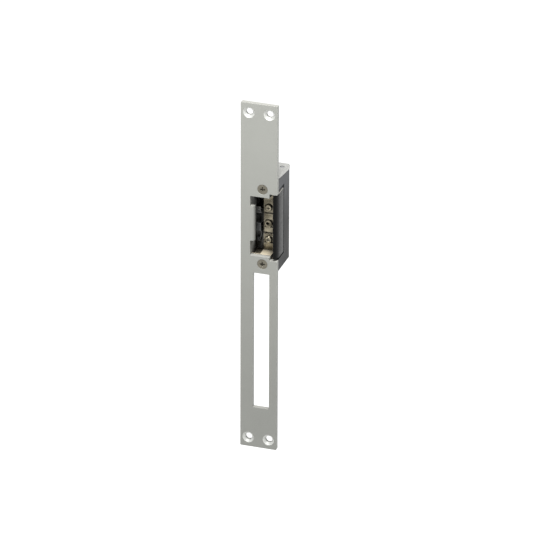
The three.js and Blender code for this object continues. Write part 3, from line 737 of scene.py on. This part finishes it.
def build_keeper():
    low, high = limits("keeper")
    pivot_y = KEEPER_PIVOT[1]
    jaw = prism(jaw_outline(), "z", low.z, high.z)
    foot = block(
        (FOOT["left"], FOOT["right"]), (FOOT["front"], pivot_y + KNUCKLE),
        (FOOT["bottom"], FOOT["top"]),
    )
    tail = block(
        (TAIL["left"], TAIL["right"]), (pivot_y, TAIL["back"]), (TAIL["bottom"], TAIL["top"]),
    )
    join(jaw, foot, tail)
    tools = [lathe([(PIN_BORE, low.z - 1), (PIN_BORE, high.z + 1)], "z", KEEPER_PIVOT)]
    for node in ("latch_plate_screw_upper", "latch_plate_screw_lower"):
        centre = screw_centre(node)
        ends = (FOOT["front"] - 1, pivot_y + KNUCKLE + 1)
        tools.append(lathe([(LATCH_SCREW["hole"], end) for end in ends], "y", centre))
    cut(jaw, *tools)
    finish_piece(jaw, "keeper_jaw", "swinging_keeper", "dark_steel", ["keeper"], 0.45, 4)


def build_latch_plate():
    """A plate with a raised middle and boss, grooves beside it, a rib, and slots for its two screws."""
    low, high = limits("latch_plate")
    front, back, centre = LATCH["front"], LATCH["back"], LATCH["centre"]
    upper = screw_centre("latch_plate_screw_upper")
    lower = screw_centre("latch_plate_screw_lower")
    screw_x = upper[0]
    inside = front + 0.2
    plate = block((low.x, high.x), (front, back), (low.z, high.z))
    pads = [
        block((low.x + 0.5, high.x - 1.4), (front - 0.6, inside), (centre + 3.2, centre + 7)),
        block((low.x + 0.9, high.x - 1.4), (front - 0.8, inside), (centre - 5.8, centre - 2.6)),
        block((low.x + 0.4, high.x - 1.4), (front - 0.35, inside), (centre - 9.2, centre - 7.4)),
        block((low.x + 0.3, high.x - 1.2), (front - 0.9, inside), (low.z, low.z + 4.6)),
        block((low.x + 0.3, high.x - 1.2), (front - 0.5, inside), (high.z - 5, high.z)),
    ]
    rib = block((high.x - 1, high.x), (front - 0.9, inside), (low.z + 3, high.z - 3))
    boss = lathe(
        [(2.9, inside), (2.75, front - 0.7), (2.5, front - 1.2), (2.1, front - 1.4)],
        "y", (screw_x, centre),
    )
    join(plate, *pads, rib, boss)
    hole = lathe(
        [(1.25, front - 2), (1.1, front - 1.1), (0.9, front - 0.6), (0.9, front + 0.7)],
        "y", (screw_x - 0.4, centre + 0.3), 40,
    )
    grooves = [
        block((low.x - 1, high.x - 1.4), (front - 2, front + 0.45), (centre + 7.2, centre + 8.4)),
        block((low.x - 1, high.x - 1.4), (front - 2, front + 0.45), (centre - 7.2, centre - 6)),
    ]
    slots = [
        prism(
            rounded_rectangle(screw_x - 2.5, screw_x + 2.5, height - 1.5, height + 1.5, 1.49),
            "y", front - 2, back + 1,
        )
        for height in (upper[1], lower[1])
    ]
    cut(plate, hole, *grooves, *slots)
    finish_piece(plate, "latch_plate_shaped", "swinging_keeper", "yellow_zinc", ["latch_plate"], 0.16)


def build_latch_screw(node):
    low, high = limits(node)
    centre = screw_centre(node)
    head = (high.x - low.x) / 2
    seat = low.y + 1.5
    shank = LATCH_SCREW["shank"]
    profile = [
        (head * 0.55, low.y), (head * 0.82, low.y + 0.12), (head * 0.97, low.y + 0.5), (head, seat - 0.2),
        (head, seat), (shank, seat),
    ]
    profile += threaded(shank, seat + 0.5, high.y, 0.5)
    screw = lathe(profile, "y", centre, 48)
    cut(screw, *cross_recess(*centre, low.y, 1, 1.5, 1.0))
    finish_piece(screw, node + "_turned", "swinging_keeper", "yellow_zinc", [node], 0.06, 2)


# ---- Adjusting screw, springs, winding and leads ----------------------------------------------------


def build_adjusting_screw():
    """A headless screw with a shallow slot for a driver, flush with the top of the housing."""
    node = "armature_adjusting_screw"
    low, high = limits(node)
    centre = ((low.x + high.x) / 2, (low.y + high.y) / 2)
    radius = (high.x - low.x) / 2
    profile = [(radius * 0.75, low.z)] + threaded(radius, low.z + 0.3, high.z - 0.7, 0.5)[:-1]
    profile += [(radius, high.z - 0.3), (radius * 0.86, high.z)]
    screw = lathe(profile, "z", centre, 48)
    cut(screw, block(
        (centre[0] - 2, centre[0] + 2), (centre[1] - 0.25, centre[1] + 0.25), (high.z - 0.3, high.z + 1),
    ))
    finish_piece(screw, node + "_turned", "fixed_body", "bright_steel", [node], 0.05, 2)


def helix(start, end, radius, turns, steps=28, end_turns=0.75, end_share=0.06):
    """Points of a compression spring. Each end turn takes up only a small share of its length."""
    start, end = Vector(start), Vector(end)
    axis = (end - start).normalized()
    side = Vector((0, 0, 1)).cross(axis)
    side = side.normalized() if side.length > 1e-4 else Vector((1, 0, 0))
    other = axis.cross(side)
    points = []
    for i in range(turns * steps + 1):
        turned = i / steps
        if turned < end_turns:
            share = end_share * turned / end_turns
        elif turned > turns - end_turns:
            share = 1 - end_share * (turns - turned) / end_turns
        else:
            coiled = (turned - end_turns) / (turns - 2 * end_turns)
            share = end_share + (1 - 2 * end_share) * coiled
        angle = 2 * math.pi * turned
        points.append(start.lerp(end, share) + (side * math.cos(angle) + other * math.sin(angle)) * radius)
    return points


def build_spring(node, axis, radius, wire_radius, turns):
    low, high = limits(node)
    middle = (low + high) / 2
    start, end = middle.copy(), middle.copy()
    index = "xyz".index(axis)
    start[index] = low[index] + wire_radius
    end[index] = high[index] - wire_radius
    spring = wire(helix(start, end, radius, turns), wire_radius)
    finish_piece(spring, node + "_wire", "fixed_body", "spring_steel", [node], 0.02, 1)


def build_winding():
    """Layers of fine wire under a wrapping, drawn as one bump for each turn."""
    low, high = limits("coil_winding")
    centre = ((low.x + high.x) / 2, (low.y + high.y) / 2)
    outer = (high.x - low.x) / 2
    bore = 2.28
    pitch = 0.36
    profile = [(bore, low.z), (outer - pitch, low.z)]
    turns = int((high.z - low.z) / pitch)
    for turn in range(turns):
        base = low.z + turn * pitch
        for share in (0.1, 0.3, 0.5, 0.7, 0.9):
            swell = math.sin(math.pi * share) * pitch * 0.45
            profile.append((outer - pitch * 0.45 + swell, base + share * pitch))
    profile += [(outer - pitch, high.z), (bore, high.z)]
    winding = lathe(profile, "z", centre)
    cut(winding, lathe([(bore, low.z - 1), (bore, high.z + 1)], "z", centre))
    finish_piece(winding, "coil_winding_turns", "fixed_body", "coil_tape", ["coil_winding"], 0.02, 1)


def build_lead(node, start_x, end_x):
    low, high = limits(node)
    radius = 0.3
    depth = high.y - radius
    corners = [
        Vector((start_x, depth, high.z)), Vector((start_x, depth, 160)),
        Vector((end_x, depth, 150)), Vector((end_x, depth - 0.5, low.z)),
    ]
    points = []
    steps = 14
    for i in range(len(corners) - 1):
        before = corners[max(i - 1, 0)]
        after = corners[min(i + 2, len(corners) - 1)]
        for step in range(steps):
            t = step / steps
            a, b = corners[i], corners[i + 1]
            points.append(0.5 * (
                2 * a + (b - before) * t + (2 * before - 5 * a + 4 * b - after) * t ** 2
                + (3 * a - before - 3 * b + after) * t ** 3
            ))
    points.append(corners[-1])
    lead = wire(points, radius, 16)
    finish_piece(lead, node + "_sleeve", "fixed_body", "lead_sleeve", [node], 0.02, 1)


# ---- The whole object -------------------------------------------------------------------------------

KEPT_NODES = {
    "housing": ("cast_zinc", 0.25),
    "side_cover": ("blue_steel", 0.2),
    "cover_screw_upper": ("bright_steel", 0.06),
    "cover_screw_lower": ("bright_steel", 0.06),
    "keeper_pin": ("bright_steel", 0.12),
    "locking_lever": ("soft_iron", 0.12),
    "lever_pin": ("bright_steel", 0.12),
    "armature": ("soft_iron", 0.1),
    "armature_pin": ("bright_steel", 0.08),
    "coil_bobbin": ("pale_nylon", 0.1),
    "coil_core": ("soft_iron", 0.1),
    "coil_yoke": ("soft_iron", 0.12),
    "release_lever": ("soft_iron", 0.2),
    "release_lever_pin": ("soft_iron", 0.08),
    "terminal_block": ("black_nylon", 0.12),
    "terminal_clamp_left": ("brass", 0.08),
    "terminal_clamp_right": ("brass", 0.08),
    "terminal_screw_left": ("brass", 0.06),
    "terminal_screw_right": ("brass", 0.06),
}


def build_object():
    build_faceplate()
    for end in ("upper", "lower"):
        build_plate_screw("faceplate_screw_" + end)
        build_latch_screw("latch_plate_screw_" + end)
    build_keeper()
    build_latch_plate()
    build_adjusting_screw()
    build_spring("keeper_spring", "z", 1.6, 0.22, 3)
    build_spring("lever_spring", "x", 1.1, 0.2, 6)
    build_spring("armature_spring", "z", 1.1, 0.2, 9)
    build_winding()
    build_lead("coil_lead_left", -1.9, -3.5)
    build_lead("coil_lead_right", -0.1, 1.7)
    for node, (material, width) in KEPT_NODES.items():
        keep_node(node, material, width)


# ---- Floor, light and camera ------------------------------------------------------------------------

FLOOR_HALF_WIDTH = 3  # metres
CAMERA = {"lens": 425.5, "azimuth": 18.36, "elevation": 26.53, "roll": 0.23, "distance": 4233.5}
LOOK_AT = (11.23, -3, 129.13)


def add_floor():
    mesh = bmesh.new()
    half = FLOOR_HALF_WIDTH
    corners = [(-half, -half), (half, -half), (half, half), (-half, half)]
    mesh.faces.new([mesh.verts.new((x, y, PLATE_LOW.z)) for x, y in corners])
    floor = object_from(mesh, "floor")
    pale = bpy.data.materials.new("pale_floor")
    pale.use_nodes = True
    shader = pale.node_tree.nodes["Principled BSDF"]
    shader.inputs["Base Color"].default_value = (0.2, 0.2, 0.2, 1)
    shader.inputs["Roughness"].default_value = 0.9
    shader.inputs["Emission Color"].default_value = (1, 1, 1, 1)
    shader.inputs["Emission Strength"].default_value = 0.94
    floor.data.materials.append(pale)


def add_area_light(name, offset, size, power, look_at=(0, 0, 130)):
    """A rectangular lamp aimed at a point in mm. Its offset from there and its size are in metres."""
    light = bpy.data.lights.new(name, "AREA")
    light.shape = "RECTANGLE"
    light.size, light.size_y = size
    light.energy = power
    lamp = bpy.data.objects.new(name, light)
    bpy.context.scene.collection.objects.link(lamp)
    target = place(*look_at)
    lamp.location = target + Vector(offset)
    lamp.rotation_euler = (target - lamp.location).to_track_quat("-Z", "Y").to_euler()


def add_light():
    world = bpy.data.worlds.new("studio")
    world.use_nodes = True
    background = world.node_tree.nodes["Background"]
    background.inputs["Color"].default_value = (1, 1, 1, 1)
    background.inputs["Strength"].default_value = 0.24
    bpy.context.scene.world = world
    add_area_light("overhead", (0.12, -0.3, 0.85), (0.6, 0.5), 14)
    add_area_light("fill", (-0.75, -0.7, 0.3), (0.7, 0.7), 1.2)


def add_camera():
    azimuth = math.radians(CAMERA["azimuth"])
    elevation = math.radians(CAMERA["elevation"])
    back = Vector((
        math.sin(azimuth) * math.cos(elevation),
        -math.cos(azimuth) * math.cos(elevation),
        math.sin(elevation),
    ))
    data = bpy.data.cameras.new("camera")
    data.sensor_width = 36
    data.lens = CAMERA["lens"]
    camera = bpy.data.objects.new("camera", data)
    bpy.context.scene.collection.objects.link(camera)
    camera.location = place(*LOOK_AT) + back * CAMERA["distance"] * MM
    roll = Quaternion((0, 0, 1), math.radians(CAMERA["roll"]))
    camera.rotation_mode = "QUATERNION"
    camera.rotation_quaternion = (-back).to_track_quat("-Z", "Y") @ roll
    bpy.context.scene.camera = camera


bpy.context.scene.view_settings.view_transform = "Standard"
build_object()
add_floor()
add_light()
add_camera()

bpy.context.view_layer.update()
